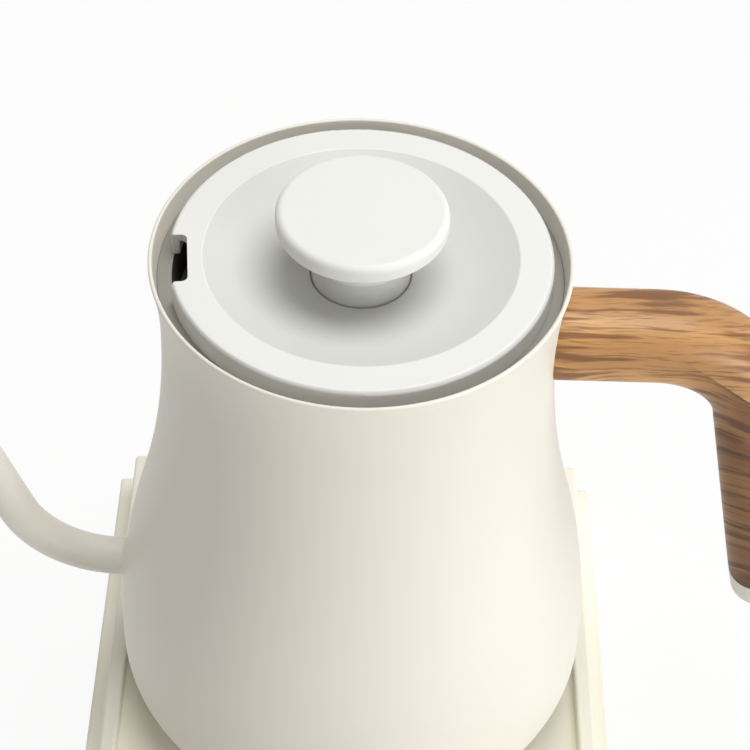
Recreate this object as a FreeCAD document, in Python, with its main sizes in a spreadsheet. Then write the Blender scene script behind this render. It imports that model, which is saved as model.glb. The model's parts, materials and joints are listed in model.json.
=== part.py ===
import FreeCAD, Part
import os
import re

import Sketcher

# Gooseneck kettle that lifts off its electric base.
# Millimetres, +Z up, origin on the kettle's axis at table level.
# The spout points to -X, the handle to +X and the controls to -Y.

sizes = {
    # kettle body: a spun shell with a narrow neck and a full belly, heights from the kettle's foot
    "neck_radius": 46.2,
    "neck_height": 134.2,
    "neck_curve": 240.0,
    "rim_flare": 1.8,
    "rim_rise": 19.0,
    "belly_radius": 61.9,
    "belly_height": 20.2,
    "bottom_corner": 13.5,
    "shell_wall": 0.9,
    "lip_width": 4.0,
    # clearances
    "fit_gap": 0.1,
    "lift_gap": 0.3,
    # ledge inside the mouth that carries the lid, with a collar below it
    "seat_drop": 5.0,
    "seat_step": 3.3,
    "seat_thickness": 1.0,
    "seat_collar": 13.0,
    # spout: a tube that leaves the belly level, bends up, leans out and bends over
    "spout_height": 41.6,
    "spout_stub": 0.8,
    "spout_inset": 2.0,
    "spout_root_radius": 4.95,
    "spout_tip_radius": 3.7,
    "spout_wall": 0.7,
    "spout_bend": 27.0,
    "spout_rise_angle": 73.0,
    "spout_rise": 80.0,
    "spout_top_bend": 20.0,
    "spout_tip_droop": 12.0,
    "spout_tip_length": 8.0,
    # handle: a rounded bar that leaves the neck level and bends down into the grip
    "handle_rise": 5.4,
    "handle_width": 21.2,
    "handle_thickness": 19.8,
    "handle_reach": 99.2,
    "handle_lean": 12.2,
    "handle_bend": 17.0,
    "handle_edge": 8.5,
    "grip_length": 91.6,
    "end_cap_length": 7.4,
    "end_cap_edge": 1.5,
    "end_cap_spigot": 6.0,
    "end_cap_spigot_inset": 5.0,
    "bracket_width": 14.0,
    "bracket_height": 5.0,
    "bracket_length": 28.0,
    "handle_screw_first": 10.0,
    "handle_screw_pitch": 12.0,
    "handle_screw_radius": 1.5,
    "handle_screw_head_radius": 2.8,
    "handle_screw_head_height": 1.8,
    "handle_screw_bite": 3.5,
    # heating parts under the kettle's floor
    "plate_thickness": 1.2,
    "spreader_radius": 46.0,
    "spreader_thickness": 4.0,
    "element_radius": 34.0,
    "element_tube_radius": 3.2,
    "element_gap_angle": 60.0,
    "element_leg_radius": 1.6,
    "element_leg_length": 6.0,
    "cutout_place": -14.0,
    "cutout_radius": 7.0,
    "cutout_height": 5.0,
    "cutout_clear": 3.3,
    "probe_place": 15.0,
    "probe_stem_radius": 2.0,
    "probe_flange_radius": 5.0,
    "probe_flange_height": 1.2,
    "probe_tip_radius": 2.5,
    "probe_tip_length": 8.0,
    "probe_tail_length": 1.5,
    "seal_thickness": 1.0,
    "stud_circle": 26.0,
    "stud_radius": 3.0,
    # cover under the kettle and the kettle's half of the connector
    "cover_radius": 47.0,
    "cover_wall": 2.2,
    "cover_floor_rise": 2.2,
    "cover_foot_width": 4.0,
    "stud_screw_radius": 1.3,
    "stud_screw_head_radius": 2.6,
    "stud_screw_head_height": 1.6,
    "stud_screw_bite": 6.0,
    "socket_radius": 17.0,
    "socket_wall": 3.5,
    "socket_rise": 0.8,
    "socket_depth": 5.9,
    "socket_roof": 4.0,
    "socket_flange_width": 2.6,
    "socket_flange_height": 2.3,
    "blade_radius": 1.2,
    "blade_tail": 2.0,
    # lid: a dished cover with a disc knob, a notch over the spout and a steel plug below
    "lid_gap": 1.7,
    "lid_proud": 0.8,
    "lid_wall": 2.0,
    "lid_edge": 1.0,
    "lid_turn": 5.2,
    "lid_border": 7.6,
    "dish_depth": 7.3,
    "dish_thickness": 2.6,
    "notch_width": 15.3,
    "notch_depth": 4.5,
    "notch_corner": 1.5,
    "notch_mouth": 1.0,
    "knob_radius": 19.4,
    "knob_rise": 12.7,
    "knob_thickness": 4.4,
    "knob_top_edge": 1.7,
    "knob_under_edge": 0.8,
    "stem_radius": 11.3,
    "stem_sink": 1.2,
    "stem_gap": 0.4,
    "plug_gap": 4.5,
    "plug_wall": 0.8,
    "plug_depth": 9.0,
    "ring_height": 2.4,
    "ring_lift": 1.0,
    "knob_screw_radius": 2.0,
    "knob_screw_head_radius": 3.8,
    "knob_screw_head_height": 2.4,
    "knob_screw_bite": 8.0,
    "washer_radius": 5.5,
    "washer_thickness": 1.0,
    # power base: a lower tier with a ledge and an upper tier with a recess for the kettle
    "base_half_width": 72.2,
    "base_back": 71.5,
    "base_front": 113.0,
    "foot_height": 2.0,
    "foot_inset": 6.0,
    "foot_width": 6.0,
    "ledge_height": 10.6,
    "tray_wall": 2.2,
    "tray_floor": 2.0,
    "ledge_thickness": 2.2,
    "base_corner": 1.2,
    "base_edge": 0.9,
    "tier_inset": 5.8,
    "tier_inset_back": 4.1,
    "tier_top": 25.9,
    "tier_wall": 2.4,
    "recess_border": 4.4,
    "recess_front": 62.0,
    "recess_depth": 5.1,
    "recess_corner": 3.0,
    "recess_plate": 2.0,
    "deck_thickness": 2.2,
    "boss_across": 54.0,
    "boss_back": 52.0,
    "boss_front": 54.0,
    "boss_radius": 4.0,
    "seat_boss_radius": 6.0,
    "seat_boss_height": 2.5,
    "base_screw_radius": 1.5,
    "base_screw_head_radius": 3.4,
    "base_screw_head_height": 2.0,
    "base_screw_bite": 9.0,
    # base's half of the connector
    "pedestal_radius": 16.2,
    "pedestal_rise": 5.2,
    "pedestal_flange": 20.5,
    "pedestal_flange_height": 2.2,
    "ring_one_radius": 7.0,
    "ring_two_radius": 12.0,
    "ring_width": 1.8,
    "ring_proud": 0.3,
    "ring_sink": 1.0,
    "connector_screw_circle": 18.4,
    "connector_screw_radius": 0.9,
    "connector_screw_head_radius": 1.8,
    "connector_screw_head_height": 1.4,
    "connector_screw_bite": 1.4,
    # boards in the base
    "board_thickness": 1.6,
    "post_radius": 3.0,
    "post_height": 3.0,
    "board_screw_radius": 1.1,
    "board_screw_head_radius": 2.3,
    "board_screw_head_height": 1.5,
    "board_screw_bite": 3.5,
    "power_board_half_width": 44.0,
    "power_board_depth": 36.0,
    "power_board_gap": 10.5,
    "post_inset": 4.0,
    "relay_place": -20.0,
    "relay_length": 20.0,
    "relay_width": 16.0,
    "relay_clear": 1.7,
    "terminal_length": 24.0,
    "terminal_width": 9.0,
    "terminal_clear": 2.2,
    "terminal_setback": 3.0,
    # control deck
    "control_board_side_gap": 4.0,
    "control_board_edge_gap": 3.4,
    "panel_post_length": 8.8,
    "window_margin": 5.0,
    "window_depth": 22.0,
    "window_thickness": 1.5,
    "window_lip": 2.0,
    "window_corner": 2.0,
    "module_gap": 0.8,
    "button_radius": 6.0,
    "button_gap": 0.3,
    "button_proud": 0.8,
    "button_flange": 1.3,
    "button_flange_height": 1.4,
    "button_stem_radius": 2.0,
    "button_travel": 0.8,
    "button_edge": 0.6,
    "switch_size": 6.0,
    "switch_height": 3.5,
    "switch_slack": 0.2,
    "power_button_inset": 23.4,
    "plus_button_inset": 19.4,
    "button_pitch": 18.0,
    # bush for the mains lead
    "gland_edge": 0.5,
    "gland_wall": 0.7,
    "gland_flange": 0.4,
    "gland_outside": 2.0,
    "gland_inside": 4.0,
}

doc = FreeCAD.newDocument("gooseneck_kettle")
sheet = doc.addObject("Spreadsheet::Sheet", "Sizes")
for row, (name, number) in enumerate(sizes.items(), start=1):
    sheet.set(f"A{row}", name)
    sheet.set(f"B{row}", str(number))
    sheet.setAlias(f"B{row}", name)
doc.recompute()

parts = []


# Formulas on the sheet

def bound(words):
    """The formula with the sheet's name before each size, as an expression needs it."""
    return re.sub(r"[a-z_]+", lambda word: ("Sizes." if word[0] in sizes else "") + word[0], words)


def value(words):
    """The number that a formula has now."""
    number = sheet.evalExpression(words)
    return float(getattr(number, "Value", number))


# Sketches

def new_part(label):
    body = doc.addObject("PartDesign::Body", label)
    body.Label = label
    body.AllowCompound = True
    parts.append(body)
    return body


def new_sketch(body, plane, offset="0"):
    """A sketch on one of the body's own origin planes, moved along the plane's normal."""
    sketch = body.newObject("Sketcher::SketchObject", body.Name + "_sketch")
    support = next(item for item in body.Origin.OriginFeatures if item.Role == plane)
    sketch.AttachmentSupport = (support, "")
    sketch.MapMode = "FlatFace"
    sketch.setExpression("AttachmentOffset.Base.z", bound(offset))
    return sketch


def pin(sketch, item, end, across, up):
    """Ties one point of a sketch to two formulas, measured from the sketch's origin."""
    for kind, words, axis in (("DistanceX", across, -2), ("DistanceY", up, -1)):
        if words == "0":
            sketch.addConstraint(Sketcher.Constraint("PointOnObject", item, end, axis))
        else:
            rule = Sketcher.Constraint(kind, -1, 1, item, end, value(words))
            sketch.setExpression(f"Constraints[{sketch.addConstraint(rule)}]", bound(words))


def set_radius(sketch, item, words):
    rule = Sketcher.Constraint("Radius", item, value(words))
    sketch.setExpression(f"Constraints[{sketch.addConstraint(rule)}]", bound(words))


def arc_between(start, end, radius, turn):
    """The short arc from start to end that turns left or right."""
    chord = end - start
    side = FreeCAD.Vector(-chord.y, chord.x, 0).normalize()
    lift = (radius ** 2 - chord.Length ** 2 / 4) ** 0.5
    centre = (start + end) / 2 + side * (lift if turn == "left" else -lift)
    first, last = (start, end) if turn == "left" else (end, start)
    circle = Part.Circle(centre, FreeCAD.Vector(0, 0, 1), radius)
    return Part.ArcOfCircle(circle, circle.parameter(first), circle.parameter(last))


def draw(sketch, corners):
    """A closed outline. A corner is (across, up), or (across, up, radius, turn) where an arc leads to it."""
    points = [FreeCAD.Vector(value(corner[0]), value(corner[1]), 0) for corner in corners]
    stretches = []
    for index, corner in enumerate(corners):
        start, end = points[index - 1], points[index]
        if len(corner) == 2:
            stretches.append((sketch.addGeometry(Part.LineSegment(start, end)), 1, 2))
            continue
        item = sketch.addGeometry(arc_between(start, end, value(corner[2]), corner[3]))
        stretches.append((item, 1, 2) if corner[3] == "left" else (item, 2, 1))
    for index, corner in enumerate(corners):
        item, _, end = stretches[index]
        follower, start, _ = stretches[(index + 1) % len(corners)]
        sketch.addConstraint(Sketcher.Constraint("Coincident", item, end, follower, start))
        pin(sketch, item, end, corner[0], corner[1])
        if len(corner) == 4:
            set_radius(sketch, item, corner[2])


def draw_circles(sketch, places, radius):
    for across, up in places:
        centre = FreeCAD.Vector(value(across), value(up), 0)
        item = sketch.addGeometry(Part.Circle(centre, FreeCAD.Vector(0, 0, 1), value(radius)))
        pin(sketch, item, 3, across, up)
        set_radius(sketch, item, radius)


def rounded(left, right, front, back, radius):
    """Corners of a rectangle with rounded corners."""
    west, east = f"{left} + {radius}", f"{right} - {radius}"
    south, north = f"{front} + {radius}", f"{back} - {radius}"
    return [
        (east, front), (right, south, radius, "left"),
        (right, north), (east, back, radius, "left"),
        (west, back), (left, north, radius, "left"),
        (left, south), (west, front, radius, "left"),
    ]


def square(left, right, front, back):
    return [(left, front), (right, front), (right, back), (left, back)]


# Solid features

def extrude(body, sketch, length, symmetric=False):
    pad = body.newObject("PartDesign::Pad", body.Name + "_pad")
    pad.Profile = sketch
    pad.setExpression("Length", bound(length))
    if symmetric:
        pad.SideType = "Symmetric"
    doc.recompute()
    return pad


def cut(body, sketch, length, symmetric=False):
    before = body.Shape.Volume
    pocket = body.newObject("PartDesign::Pocket", body.Name + "_pocket")
    pocket.Profile = sketch
    pocket.setExpression("Length", bound(length))
    if symmetric:
        pocket.SideType = "Symmetric"
    doc.recompute()
    if not body.Shape.Volume < before:
        raise RuntimeError(f"{pocket.Name} takes nothing away")
    return pocket


def block(body, corners, low, high):
    sketch = new_sketch(body, "XY_Plane", low)
    draw(sketch, corners)
    return extrude(body, sketch, f"{high} - ({low})")


def hollow(body, corners, low, high):
    sketch = new_sketch(body, "XY_Plane", high)
    draw(sketch, corners)
    return cut(body, sketch, f"{high} - ({low})")


def discs(body, places, radius, low, high):
    sketch = new_sketch(body, "XY_Plane", low)
    draw_circles(sketch, places, radius)
    return extrude(body, sketch, f"{high} - ({low})")


def drill(body, places, radius, low, high):
    sketch = new_sketch(body, "XY_Plane", high)
    draw_circles(sketch, places, radius)
    return cut(body, sketch, f"{high} - ({low})")


def turned(label, corners):
    """A part turned round the Z axis from its outline of radius and height."""
    body = new_part(label)
    sketch = new_sketch(body, "XZ_Plane")
    draw(sketch, corners)
    turn = body.newObject("PartDesign::Revolution", label + "_turn")
    turn.Profile = sketch
    turn.ReferenceAxis = (sketch, ["V_Axis"])
    turn.Angle = 360
    doc.recompute()
    return body


def soften(body, radius, chosen):
    """Rounds the edges of the body's last feature that the test picks."""
    base = body.Tip
    names = [f"Edge{i}" for i, edge in enumerate(base.Shape.Edges, start=1) if chosen(edge)]
    fillet = body.newObject("PartDesign::Fillet", body.Name + "_fillet")
    fillet.Base = (base, names)
    fillet.setExpression("Radius", bound(radius))
    doc.recompute()
    return fillet


def flat_at(height):
    """Picks edges that lie level at a height."""
    level = value(height)
    return lambda edge: all(abs(z - level) < 1e-4 for z in (edge.BoundBox.ZMin, edge.BoundBox.ZMax))


def simple_box(label, left, right, front, back, low, high):
    box = doc.addObject("Part::Box", label)
    box.Label = label
    for name, words in (("Length", f"{right} - ({left})"), ("Width", f"{back} - ({front})"),
                        ("Height", f"{high} - ({low})"), ("Placement.Base.x", left),
                        ("Placement.Base.y", front), ("Placement.Base.z", low)):
        box.setExpression(name, bound(words))
    parts.append(box)
    return box


def screws(label, places, shank_radius, head_radius, head_low, seat, point):
    """Identical screws, driven upwards: head below the seat, shank above it."""
    body = new_part(label)
    discs(body, places, head_radius, head_low, seat)
    discs(body, places, shank_radius, seat, point)
    return body


centre = [("0", "0")]

# Levels that the kettle stands on, then the kettle's own levels and radii

recess_floor = "(tier_top - recess_depth)"
plate_base = f"({recess_floor} - recess_plate)"
socket_low = f"({recess_floor} + socket_rise)"
socket_ceiling = f"({socket_low} + socket_depth)"
socket_top = f"({socket_ceiling} + socket_roof)"
belly_level = f"({recess_floor} + belly_height)"
spout_middle = f"({recess_floor} + spout_height)"
neck_level = f"({recess_floor} + neck_height)"
rim_level = f"({neck_level} + rim_rise)"
rim_radius = "(neck_radius + rim_flare)"
seat_radius = "(neck_radius - seat_step)"
lid_radius = "(neck_radius - shell_wall - lid_gap)"
dish_radius = f"({lid_radius} - lid_border)"
plug_radius = f"({seat_radius} - plug_gap)"

# Kettle body

upper_curve = "((rim_flare^2 + rim_rise^2) / (2 * rim_flare))"
both_curves = ("((belly_radius - neck_radius)^2 + (neck_height - belly_height)^2)"
               " / (2 * (belly_radius - neck_radius))")
belly_curve = f"({both_curves} - neck_curve)"
neck_share = f"(neck_curve / ({both_curves}))"
bend_radius = f"neck_radius + (belly_radius - neck_radius) * {neck_share}"
bend_height = f"{neck_level} - (neck_height - belly_height) * {neck_share}"
lip_height = f"({belly_level} - bottom_corner)"
corner_radius = "belly_radius - bottom_corner"
inside_corner = "(bottom_corner - shell_wall)"


def neck_inside(height):
    """Radius of the shell's inner face at a height above the neck."""
    return (f"(neck_radius - shell_wall + {upper_curve}"
            f" - sqrt({upper_curve}^2 - ({height} - {neck_level})^2))")


def neck_outside(height):
    """Radius of the shell's outer face at a height just below the neck."""
    return f"(neck_radius + neck_curve - sqrt(neck_curve^2 - ({neck_level} - {height})^2))"


def belly_outside(height):
    """Radius of the shell's outer face at a height on the belly."""
    return f"(belly_radius - {belly_curve} + sqrt({belly_curve}^2 - ({height} - {belly_level})^2))"


turned("rim_collar", [
    (rim_radius, rim_level, upper_curve, "right"),
    (f"{rim_radius} - shell_wall", rim_level),
    ("neck_radius - shell_wall", neck_level, upper_curve, "left"),
    ("neck_radius", neck_level),
])
body_shell = turned("body_shell", [
    ("neck_radius - shell_wall", neck_level),
    (f"{bend_radius} - shell_wall", bend_height, "neck_curve", "left"),
    ("belly_radius - shell_wall", belly_level, belly_curve, "right"),
    (corner_radius, f"{lip_height} + shell_wall", inside_corner, "right"),
    (f"{corner_radius} - lip_width", f"{lip_height} + shell_wall"),
    (f"{corner_radius} - lip_width", lip_height),
    (corner_radius, lip_height),
    ("belly_radius", belly_level, "bottom_corner", "left"),
    (bend_radius, bend_height, belly_curve, "left"),
    ("neck_radius", neck_level, "neck_curve", "right"),
])
spout_hole = new_sketch(body_shell, "YZ_Plane")
draw_circles(spout_hole, [("0", spout_middle)], "spout_root_radius + fit_gap")
cut(body_shell, spout_hole, "belly_radius")

seat_top = f"({rim_level} - seat_drop)"
seat_under = f"({seat_top} - seat_thickness)"
turned("lid_seat_ring", [
    (seat_radius, seat_top),
    (seat_radius, f"{seat_top} - seat_collar"),
    (f"{seat_radius} + seat_thickness", f"{seat_top} - seat_collar"),
    (f"{seat_radius} + seat_thickness", seat_under),
    (f"{neck_inside(seat_under)} - fit_gap", seat_under),
    (f"{neck_inside(seat_top)} - fit_gap", seat_top),
])

# Spout: five tangent stretches, first the outside and then the bore

spout_start = f"{belly_outside(spout_middle)} - shell_wall - spout_inset"
spout_level = "(spout_stub + shell_wall + spout_inset)"


def spout_solid(root_radius, tip_radius):
    """A round bar along the spout: level, bend up, taper along the riser, bend over, tip."""
    sideways = FreeCAD.Vector(0, 1, 0)
    place = FreeCAD.Vector(-value(spout_start), 0, value(spout_middle))
    heading = FreeCAD.Vector(-1, 0, 0)
    solids = [Part.makeCylinder(root_radius, value(spout_level), place, heading)]
    place = place + heading * value(spout_level)
    for radius, bend, angle, run, end_radius in (
        (root_radius, "spout_bend", "spout_rise_angle", "spout_rise", tip_radius),
        (tip_radius, "spout_top_bend", "-spout_rise_angle - spout_tip_droop", "spout_tip_length", tip_radius),
    ):
        turn = value(angle)
        inward = sideways.cross(heading) * (1 if turn > 0 else -1)
        pivot = place + inward * value(bend)
        disc = Part.Face(Part.Wire(Part.makeCircle(radius, place, heading)))
        solids.append(disc.revolve(pivot, sideways, turn))
        spin = FreeCAD.Rotation(sideways, turn)
        place = pivot + spin.multVec(place - pivot)
        heading = spin.multVec(heading)
        if end_radius == radius:
            solids.append(Part.makeCylinder(radius, value(run), place, heading))
        else:
            solids.append(Part.makeCone(radius, end_radius, value(run), place, heading))
        place = place + heading * value(run)
    return solids[0].multiFuse(solids[1:]).removeSplitter()


spout_outside = spout_solid(value("spout_root_radius"), value("spout_tip_radius"))
spout_bore = spout_solid(value("spout_root_radius - spout_wall"), value("spout_tip_radius - spout_wall"))
spout_tube = doc.addObject("Part::Feature", "spout_tube")
spout_tube.Label = "spout_tube"
spout_tube.Shape = spout_outside.cut(spout_bore)
spout_tube.Placement = FreeCAD.Placement()
parts.append(spout_tube)

# Handle: side view of the arm and grip, given its width and rounded along its edges

handle_top = f"({neck_level} + handle_rise)"
turn_share = "tan((90 - handle_lean) / 2)"
lean_out = "sin(handle_lean)"
lean_down = "cos(handle_lean)"
arm_under = f"({handle_top} - handle_thickness)"
inner_corner = f"(handle_reach + handle_thickness * tan(handle_lean) - handle_thickness / {lean_down})"
outer_bend = "(handle_bend + handle_thickness)"
outer_tangent = f"{outer_bend} * {turn_share}"
inner_tangent = f"handle_bend * {turn_share}"


def along_grip(length):
    """Outer corner of the grip at a length down from the handle's outer corner."""
    return f"(handle_reach + ({length}) * {lean_out})", f"({handle_top} - ({length}) * {lean_down})"


def across_grip(length, depth):
    """Point of the grip at a length down its outer face and a depth in from it."""
    across, up = along_grip(length)
    return f"{across} - ({depth}) * {lean_down}", f"{up} - ({depth}) * {lean_out}"


handle_grip = new_part("handle_grip")
grip_side = new_sketch(handle_grip, "XZ_Plane")
draw(grip_side, [
    ("neck_radius / 2", handle_top),
    ("neck_radius / 2", arm_under),
    (f"{inner_corner} - {inner_tangent}", arm_under),
    (f"{inner_corner} + {inner_tangent} * {lean_out}", f"{arm_under} - {inner_tangent} * {lean_down}",
     "handle_bend", "right"),
    across_grip("grip_length", "handle_thickness"),
    along_grip("grip_length"),
    along_grip(outer_tangent),
    (f"handle_reach - {outer_tangent}", handle_top, outer_bend, "left"),
])
extrude(handle_grip, grip_side, "handle_width", symmetric=True)
half_width = value("handle_width / 2")
soften(handle_grip, "handle_edge", lambda edge: (
    edge.BoundBox.YLength < 1e-4
    and abs(abs(edge.BoundBox.YMin) - half_width) < 1e-4
    and edge.Length > value("handle_thickness + handle_edge")
))
drill(handle_grip, centre, f"{neck_outside(arm_under)} + lift_gap", arm_under, handle_top)

bracket_middle = f"({handle_top} - handle_thickness / 2)"
bracket_low = f"({bracket_middle} - bracket_height / 2)"
bracket_high = f"({bracket_middle} + bracket_height / 2)"
bracket_end = "neck_radius + bracket_length"
hollow(handle_grip,
       square("0", f"{bracket_end} + fit_gap", "-bracket_width / 2 - fit_gap", "bracket_width / 2 + fit_gap"),
       f"{bracket_low} - fit_gap", f"{bracket_high} + fit_gap")

handle_screw_places = [
    ("neck_radius + handle_screw_first", "0"),
    ("neck_radius + handle_screw_first + handle_screw_pitch", "0"),
]
handle_screw_seat = f"{arm_under} + handle_screw_head_height"
drill(handle_grip, handle_screw_places, "handle_screw_head_radius + fit_gap", arm_under, handle_screw_seat)
drill(handle_grip, handle_screw_places, "handle_screw_radius + fit_gap", handle_screw_seat, bracket_middle)

spigot_low = "grip_length - end_cap_spigot"
spigot_side = [
    across_grip(f"{spigot_low} - fit_gap", "end_cap_spigot_inset - fit_gap"),
    across_grip(f"{spigot_low} - fit_gap", "handle_thickness - end_cap_spigot_inset + fit_gap"),
    across_grip("grip_length + fit_gap", "handle_thickness - end_cap_spigot_inset + fit_gap"),
    across_grip("grip_length + fit_gap", "end_cap_spigot_inset - fit_gap"),
]
spigot_hole = new_sketch(handle_grip, "XZ_Plane")
draw(spigot_hole, spigot_side)
cut(handle_grip, spigot_hole, "handle_width - 2 * end_cap_spigot_inset + 2 * fit_gap", symmetric=True)

handle_end_cap = new_part("handle_end_cap")
cap_side = new_sketch(handle_end_cap, "XZ_Plane")
draw(cap_side, [
    along_grip("grip_length"),
    across_grip("grip_length", "handle_thickness"),
    across_grip("grip_length + end_cap_length", "handle_thickness"),
    along_grip("grip_length + end_cap_length"),
])
extrude(handle_end_cap, cap_side, "handle_width", symmetric=True)
cap_length = value("end_cap_length")
soften(handle_end_cap, "handle_edge", lambda edge: (
    edge.BoundBox.YLength < 1e-4 and abs(edge.Length - cap_length) < 1e-4
))
cap_foot = FreeCAD.Vector(value(along_grip("grip_length + end_cap_length")[0]), 0,
                          value(along_grip("grip_length + end_cap_length")[1]))
grip_axis = FreeCAD.Vector(value(lean_out), 0, -value(lean_down))
soften(handle_end_cap, "end_cap_edge", lambda edge: all(
    abs((vertex.Point - cap_foot).dot(grip_axis)) < 1e-4 for vertex in edge.Vertexes
))
spigot = new_sketch(handle_end_cap, "XZ_Plane")
draw(spigot, [
    across_grip(spigot_low, "end_cap_spigot_inset"),
    across_grip(spigot_low, "handle_thickness - end_cap_spigot_inset"),
    across_grip("grip_length", "handle_thickness - end_cap_spigot_inset"),
    across_grip("grip_length", "end_cap_spigot_inset"),
])
extrude(handle_end_cap, spigot, "handle_width - 2 * end_cap_spigot_inset", symmetric=True)

handle_bracket = new_part("handle_bracket")
block(handle_bracket, square("neck_radius / 2", bracket_end, "-bracket_width / 2", "bracket_width / 2"),
      bracket_low, bracket_high)
drill(handle_bracket, centre, f"{neck_outside(bracket_low)} + fit_gap", bracket_low, bracket_high)
drill(handle_bracket, handle_screw_places, "handle_screw_radius + fit_gap",
      bracket_low, f"{bracket_low} + handle_screw_bite")

screws("handle_screws", handle_screw_places, "handle_screw_radius", "handle_screw_head_radius",
       arm_under, handle_screw_seat, f"{bracket_low} + handle_screw_bite - fit_gap")

# Heating parts, hung under the kettle's floor plate

probe_places = [("probe_place", "0")]
spreader_under = f"({socket_top} + cutout_clear + cutout_height)"
plate_under = f"({spreader_under} + spreader_thickness)"
plate_top = f"({plate_under} + plate_thickness)"

boiler_plate = new_part("boiler_plate")
plate_radius = f"{belly_outside(plate_top)} - shell_wall - fit_gap"
discs(boiler_plate, centre, plate_radius, plate_under, plate_top)
drill(boiler_plate, probe_places, "probe_stem_radius + fit_gap", plate_under, plate_top)

heat_spreader = new_part("heat_spreader")
discs(heat_spreader, centre, "spreader_radius", spreader_under, plate_under)
drill(heat_spreader, probe_places, "probe_stem_radius + fit_gap", spreader_under, plate_under)

element_middle = f"({spreader_under} - element_tube_radius - fit_gap)"
element_ring = doc.addObject("Part::Torus", "element_ring")
element_ring.Placement.Rotation = FreeCAD.Rotation(FreeCAD.Vector(0, 0, 1), value("element_gap_angle / 2"))
for name, words in (("Radius1", "element_radius"), ("Radius2", "element_tube_radius"),
                    ("Angle3", "360 - element_gap_angle"), ("Placement.Base.z", element_middle)):
    element_ring.setExpression(name, bound(words))
element_legs = []
for side in ("", "-"):
    leg = doc.addObject("Part::Cylinder", "element_leg")
    for name, words in (("Radius", "element_leg_radius"), ("Height", "element_leg_length"),
                        ("Placement.Base.x", "element_radius * cos(element_gap_angle / 2)"),
                        ("Placement.Base.y", f"{side}element_radius * sin(element_gap_angle / 2)"),
                        ("Placement.Base.z", f"{element_middle} - element_leg_length")):
        leg.setExpression(name, bound(words))
    element_legs.append(leg)
heating_element = doc.addObject("Part::MultiFuse", "heating_element")
heating_element.Label = "heating_element"
heating_element.Shapes = [element_ring, *element_legs]
parts.append(heating_element)

thermal_cutout = new_part("thermal_cutout")
discs(thermal_cutout, [("cutout_place", "0")], "cutout_radius",
      f"{spreader_under} - cutout_height", spreader_under)

flange_low = f"({plate_top} + seal_thickness)"
flange_high = f"({flange_low} + probe_flange_height)"
probe_tail = f"{spreader_under} - probe_tail_length"

probe_seal = new_part("probe_seal")
discs(probe_seal, probe_places, "probe_flange_radius", plate_top, flange_low)
drill(probe_seal, probe_places, "probe_stem_radius + fit_gap", plate_top, flange_low)

temperature_probe = new_part("temperature_probe")
discs(temperature_probe, probe_places, "probe_stem_radius", probe_tail, flange_low)
discs(temperature_probe, probe_places, "probe_flange_radius", flange_low, flange_high)
discs(temperature_probe, probe_places, "probe_tip_radius", flange_high, f"{flange_high} + probe_tip_length")

# Cover under the kettle, held by studs from the heat spreader

cover_floor = f"({recess_floor} + cover_floor_rise)"
cover_floor_top = f"({cover_floor} + cover_wall)"
stud_places = [
    ("0", "stud_circle"),
    ("stud_circle * cos(30)", "-stud_circle * sin(30)"),
    ("-stud_circle * cos(30)", "-stud_circle * sin(30)"),
]
socket_outside = "(socket_radius + socket_wall)"

bottom_cover = turned("bottom_cover", [
    ("cover_radius", recess_floor),
    ("cover_radius", lip_height),
    ("cover_radius - cover_wall", lip_height),
    ("cover_radius - cover_wall", cover_floor_top),
    (f"{socket_outside} + fit_gap", cover_floor_top),
    (f"{socket_outside} + fit_gap", cover_floor),
    ("cover_radius - cover_foot_width", cover_floor),
    ("cover_radius - cover_foot_width", recess_floor),
])
drill(bottom_cover, stud_places, "stud_screw_radius + fit_gap", cover_floor, cover_floor_top)

bottom_studs = new_part("bottom_studs")
discs(bottom_studs, stud_places, "stud_radius", cover_floor_top, spreader_under)
drill(bottom_studs, stud_places, "stud_screw_radius + fit_gap",
      cover_floor_top, f"{cover_floor_top} + stud_screw_bite")
screws("bottom_screws", stud_places, "stud_screw_radius", "stud_screw_head_radius",
       f"{cover_floor} - stud_screw_head_height", cover_floor,
       f"{cover_floor_top} + stud_screw_bite - fit_gap")

# Kettle's half of the connector: a cup that drops over the base's pedestal

contact_height = f"({recess_floor} + pedestal_rise + ring_proud)"
contact_places = [("0", "0"), ("ring_one_radius", "0"), ("-ring_two_radius", "0")]

kettle_connector = turned("kettle_connector", [
    ("0", socket_top),
    ("0", socket_ceiling),
    ("socket_radius", socket_ceiling),
    ("socket_radius", socket_low),
    (socket_outside, socket_low),
    (socket_outside, cover_floor_top),
    (f"{socket_outside} + socket_flange_width", cover_floor_top),
    (f"{socket_outside} + socket_flange_width", f"{cover_floor_top} + socket_flange_height"),
    (socket_outside, f"{cover_floor_top} + socket_flange_height"),
    (socket_outside, socket_top),
])
drill(kettle_connector, contact_places, "blade_radius + fit_gap", socket_ceiling, socket_top)

contact_blades = new_part("contact_blades")
discs(contact_blades, contact_places, "blade_radius",
      f"{contact_height} + lift_gap", f"{socket_top} + blade_tail")

# Lid

lid_top = f"({rim_level} + lid_proud)"
dish_curve = f"(({dish_radius}^2 + dish_depth^2) / (2 * dish_depth))"
dish_under = f"({lid_top} - dish_depth - dish_thickness)"
under_curve = f"({dish_curve} + dish_thickness)"
stem_hole = "(stem_radius + stem_gap)"
plug_inside = f"({plug_radius} - lid_wall)"


def bowl(lowest, curve, radius):
    """Height at a radius on a bowl of the lid, from its lowest height and its curve."""
    return f"({lowest} + {curve} - sqrt({curve}^2 - {radius}^2))"


stem_edge = bowl(f"{lid_top} - dish_depth", dish_curve, stem_hole)
stem_foot = f"({stem_edge} - stem_sink)"
plug_top = f"({dish_under} - plug_wall)"
lid_rotation = FreeCAD.Rotation(FreeCAD.Vector(0, 0, 1), value("lid_turn"))

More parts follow.
